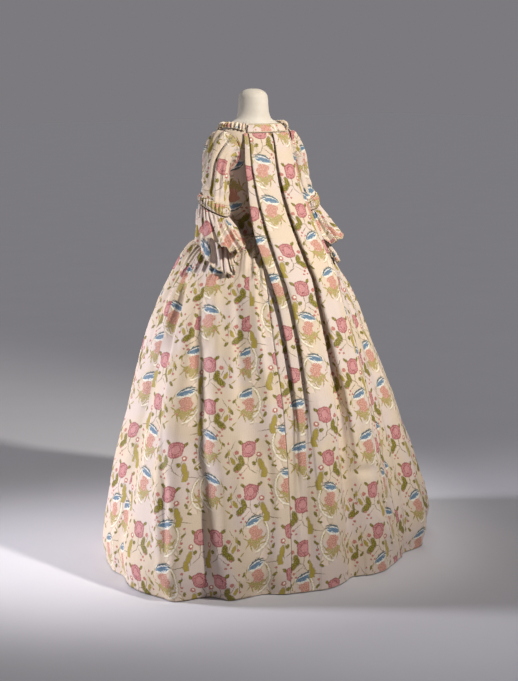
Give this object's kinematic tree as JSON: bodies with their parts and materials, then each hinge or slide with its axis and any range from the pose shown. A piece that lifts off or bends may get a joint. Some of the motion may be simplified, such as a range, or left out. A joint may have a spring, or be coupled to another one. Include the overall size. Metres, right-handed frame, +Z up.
{
  "type": "robe a la francaise on a limbless dress form",
  "caption": "Sack-back silk gown with box pleats falling from the neckband into a short train, elbow sleeves with flounced cuffs and wide hips, on a limbless dress form with a round base.",
  "frame": {"origin": "centre of the stand base's underside, on the floor, under the neck", "axes": "+Z up; the wearer faces -Y, so the train runs to +Y; +X is the wearer's left"},
  "size_m": [1.2138, 0.9118, 1.508],
  "materials": {
    "brocade": "ribbed ivory silk with a brocaded floral",
    "trim": "gathered and flat strips of the same silk",
    "form_cover": "plain off-white cover, matt",
    "pole_metal": "satin grey",
    "base_paint": "matt off-white"
  },
  "bodies": {
    "root": {"sack_back": "brocade", "skirt_left": "brocade", "skirt_right": "brocade", "petticoat_front": "brocade", "bodice_back": "brocade", "bodice_front_left": "brocade", "bodice_front_right": "brocade", "stomacher": "brocade", "sleeve_left": "brocade", "sleeve_right": "brocade", "flounce_upper_left": "brocade", "flounce_upper_right": "brocade", "flounce_lower_left": "brocade", "flounce_lower_right": "brocade", "neckband": "trim", "cuff_band_left": "trim", "cuff_band_right": "trim", "robing_left": "trim", "robing_right": "trim", "form_torso": "form_cover", "stand_pole": "pole_metal", "stand_base": "base_paint"}
  },
  "joints": []
}
